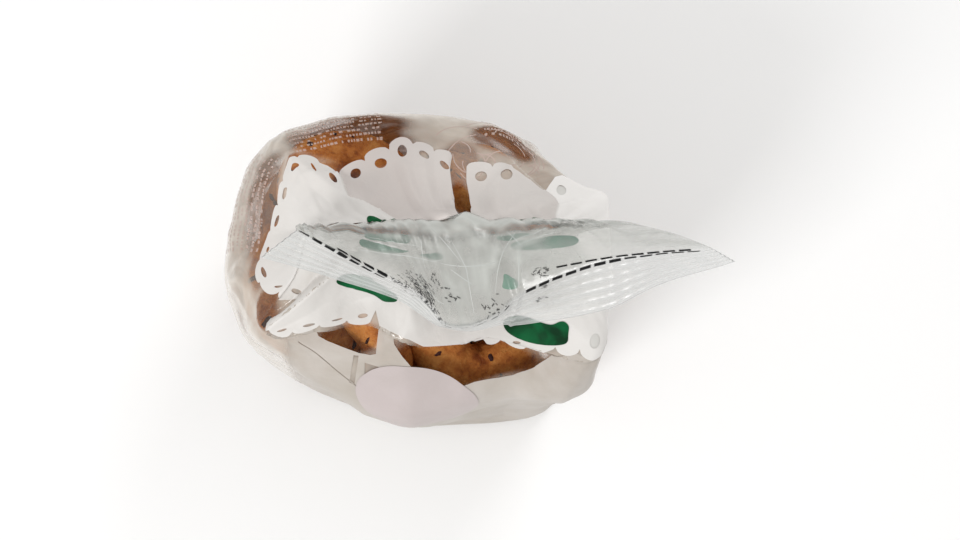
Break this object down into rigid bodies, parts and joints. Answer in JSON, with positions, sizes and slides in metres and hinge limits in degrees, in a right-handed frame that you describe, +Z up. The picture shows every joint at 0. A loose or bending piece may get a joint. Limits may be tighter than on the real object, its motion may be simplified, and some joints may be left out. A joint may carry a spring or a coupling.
{
  "type": "bag of ring cookies",
  "caption": "Sealed clear film bag filled with ring cookies, standing on its flat base, its gathered top folded forward to a ribbed seal.",
  "frame": {"origin": "middle of the flat base that the bag stands on", "axes": "+Z up along the bag towards its gathered neck; -Y towards the front, the side over which the top seal is folded; +X to the right seen from the front"},
  "size_m": [0.1971, 0.1278, 0.243],
  "materials": {
    "film": "clear crinkled packing film, glossy, slightly hazy",
    "print_white": "white ink on the film, satin, nearly opaque",
    "print_green": "dark green ink on the film, satin",
    "print_black": "black ink on the film, satin",
    "cookie": "golden brown baked dough, matte, fine cracks",
    "chocolate": "dark chocolate chips baked into the dough"
  },
  "bodies": {
    "root": {"bag": "film"}
  },
  "joints": []
}
